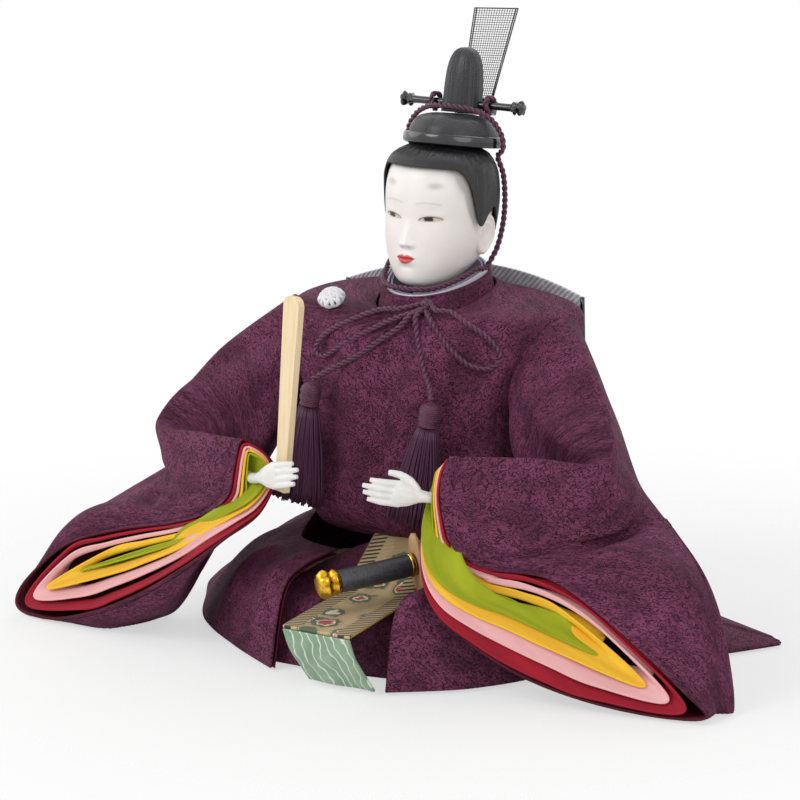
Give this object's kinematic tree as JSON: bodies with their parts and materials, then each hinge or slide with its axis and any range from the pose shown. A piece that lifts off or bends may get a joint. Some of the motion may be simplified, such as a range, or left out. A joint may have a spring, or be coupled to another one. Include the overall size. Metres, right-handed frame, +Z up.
{
  "type": "hina doll",
  "caption": "Seated court emperor doll in a wide layered silk robe, with a gauze crown and streamer, a held baton, a sword at the waist and tasselled chin cords.",
  "frame": {"origin": "underside of the seat board, below the axis of the trunk, 4 mm behind that axis; the doll rests on z = 0", "axes": "+X to the doll's left hand, -Y to the front, +Z up through the head"},
  "size_m": [0.311, 0.1956, 0.2475],
  "materials": {
    "black_gauze": "black lacquered gauze",
    "black_lacquer": "gloss black lacquer",
    "black_silk": "combed black silk hair",
    "crimson_cloth": "plain crimson silk",
    "gold_brocade": "gold brocade",
    "gold_metal": "polished gilt metal",
    "green_cloth": "plain yellow-green silk",
    "grey_sharkskin": "grey ray skin",
    "grey_weave": "pale grey silk with a diagonal weave",
    "hemp_cord": "hemp cord",
    "lilac_cloth": "plain lilac silk",
    "mint_satin": "pale green satin",
    "pale_wood": "fine pale wood",
    "pink_cloth": "plain pink silk",
    "plum_cord": "twisted plum silk cord",
    "plum_jacquard": "dark plum silk woven with scrolls",
    "steel_wire": "annealed iron wire",
    "straw": "tightly bound straw",
    "violet_floss": "violet silk floss",
    "white_cloth": "white silk and cord",
    "white_skin": "satin shell-white coating",
    "wood_wool": "wound wood wool",
    "yellow_cloth": "plain golden silk"
  },
  "bodies": {
    "doll": {"seat_board": "pale_wood", "straw_core": "straw", "core_binding_1": "hemp_cord", "core_binding_2": "hemp_cord", "arm_wire": "steel_wire", "arm_pad_left": "wood_wool", "arm_pad_right": "wood_wool", "leg_left": "white_cloth", "leg_right": "white_cloth", "robe_body": "plum_jacquard", "sleeve_left": "plum_jacquard", "cuff_crimson_left": "crimson_cloth", "cuff_pink_left": "pink_cloth", "cuff_yellow_left": "yellow_cloth", "cuff_green_left": "green_cloth", "sleeve_right": "plum_jacquard", "cuff_crimson_right": "crimson_cloth", "cuff_pink_right": "pink_cloth", "cuff_yellow_right": "yellow_cloth", "cuff_green_right": "green_cloth", "skirt_left": "plum_jacquard", "lining_left": "crimson_cloth", "lining_right": "crimson_cloth", "skirt_right": "plum_jacquard", "skirt_back": "plum_jacquard", "robe_collar": "plum_jacquard", "under_collar_white": "white_cloth", "under_collar_lilac": "lilac_cloth", "collar_toggle": "white_cloth", "neck_peg": "pale_wood", "chin_bow": "plum_cord", "sash_strip": "gold_brocade", "sash_flap": "mint_satin", "under_skirt": "crimson_cloth", "train_panel": "grey_weave"},
    "head": {"head": "white_skin", "hair": "black_silk", "crown_dome": "black_gauze", "crown_rim": "black_lacquer", "crown_lobe": "black_gauze", "crown_pin": "black_lacquer", "streamer_socket": "black_lacquer", "head_cord": "plum_cord", "cord_ring_left": "plum_cord", "cord_ring_right": "plum_cord"},
    "streamer": {"crown_streamer": "black_gauze"},
    "hand_left": {"hand_left": "white_skin"},
    "hand_right": {"hand_right": "white_skin"},
    "baton": {"baton": "pale_wood"},
    "sword": {"sword_pommel": "gold_metal", "sword_hilt": "grey_sharkskin", "sword_guard": "pale_wood", "sword_scabbard": "grey_sharkskin", "sword_chape": "gold_metal"},
    "tassel_left": {"tassel_head_left": "plum_cord", "tassel_skirt_left": "violet_floss"},
    "tassel_right": {"tassel_head_right": "plum_cord", "tassel_skirt_right": "violet_floss"}
  },
  "joints": [
    {"name": "head_turn", "type": "hinge", "parent": "doll", "child": "head", "pos_m": [0, -0.004, 0.141], "axis": [0, 0, 1], "range_deg": [-10, 10]},
    {"name": "streamer_slide", "type": "slide", "parent": "head", "child": "streamer", "axis": [0.0099, 0.4547, 0.8906], "range_m": [0, 0.01]},
    {"name": "hand_left_turn", "type": "hinge", "parent": "doll", "child": "hand_left", "pos_m": [0.03975, -0.08585, 0.07358], "axis": [-0.8795, -0.435, -0.193], "range_deg": [-10, 10]},
    {"name": "hand_right_turn", "type": "hinge", "parent": "doll", "child": "hand_right", "pos_m": [-0.04152, -0.08397, 0.07228], "axis": [0.9039, -0.3955, -0.1628], "range_deg": [-8, 8]},
    {"name": "baton_slide", "type": "slide", "parent": "hand_right", "child": "baton", "axis": [0.0543, 0.0473, 0.9974], "range_m": [0, 0.01]},
    {"name": "sword_slide", "type": "slide", "parent": "doll", "child": "sword", "axis": [-0.6015, -0.7877, -0.133], "range_m": [0, 0.01]},
    {"name": "tassel_left_swing", "type": "hinge", "parent": "doll", "child": "tassel_left", "pos_m": [0.02308, -0.05724, 0.10289], "axis": [-1, 0, 0], "range_deg": [0, 20]},
    {"name": "tassel_right_swing", "type": "hinge", "parent": "doll", "child": "tassel_right", "pos_m": [-0.03031, -0.05427, 0.10584], "axis": [-1, 0, 0], "range_deg": [0, 20]}
  ]
}
